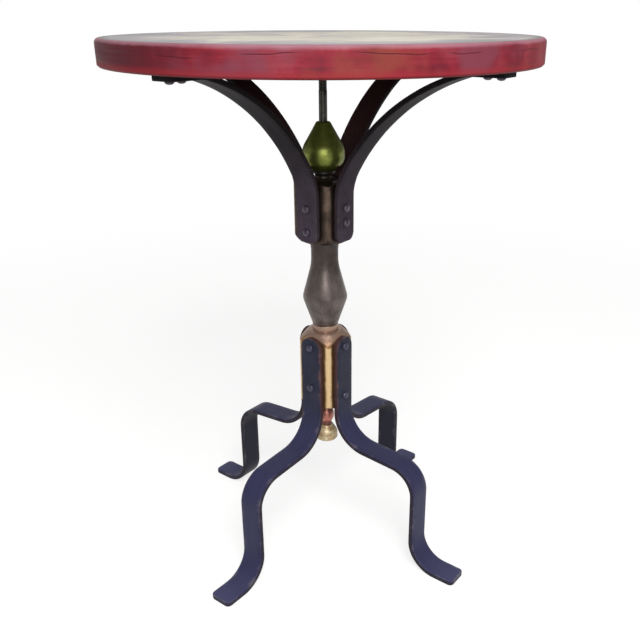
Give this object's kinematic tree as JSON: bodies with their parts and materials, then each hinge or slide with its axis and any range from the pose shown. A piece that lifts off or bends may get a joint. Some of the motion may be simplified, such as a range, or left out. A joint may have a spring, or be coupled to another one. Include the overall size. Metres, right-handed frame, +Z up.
{
  "type": "lamp table",
  "caption": "Round lamp table: painted board top on bent flat-bar iron arms, a post of stacked turned pieces on a tie rod, and S-curved flat-bar legs.",
  "frame": {"origin": "on the floor, under the centre of the round top", "axes": "+Z up along the post, -Y towards the front of the picture, legs and arms on the diagonals"},
  "size_m": [0.5, 0.5, 0.666],
  "materials": {
    "painted_top": "hand-painted, brushed colour glazes over primed boards, satin",
    "leg_iron": "slate-navy paint on bent flat bar, rubbed through on the edges",
    "arm_iron": "charcoal-violet paint on bent flat bar, rubbed on the edges",
    "gold_block": "metallic gold paint with brown glaze in the corners",
    "bronze_turning": "bronze-brown metallic paint, satin",
    "brown_block": "brown bronze paint, satin",
    "dark_collar": "near-black bronze paint, satin",
    "green_acorn": "olive-green metallic paint, satin gloss",
    "coral_bead": "coral paint with brown glaze, satin",
    "cream_bun": "mottled cream and gold paint, satin",
    "rod_steel": "darkened threaded rod, nut, washer and insert",
    "bolt_iron": "painted over with the straps, worn on the crowns"
  },
  "bodies": {
    "root": {"top_board_1": "painted_top", "top_board_2": "painted_top", "top_board_3": "painted_top", "top_board_4": "painted_top", "top_board_5": "painted_top", "top_board_6": "painted_top", "top_board_7": "painted_top", "leg_front_left": "leg_iron", "arm_front_left": "arm_iron", "leg_front_right": "leg_iron", "arm_front_right": "arm_iron", "leg_back_right": "leg_iron", "arm_back_right": "arm_iron", "leg_back_left": "leg_iron", "arm_back_left": "arm_iron", "hub_block": "gold_block", "baluster": "bronze_turning", "arm_block": "brown_block", "neck_collar": "dark_collar", "acorn_finial": "green_acorn", "bottom_bead": "coral_bead", "bun_knob": "cream_bun", "tie_rod": "rod_steel", "rod_washer": "rod_steel", "rod_nut": "rod_steel", "rod_insert": "rod_steel", "leg_bolts": "bolt_iron", "arm_bolts": "bolt_iron", "arm_screws": "bolt_iron"}
  },
  "joints": []
}
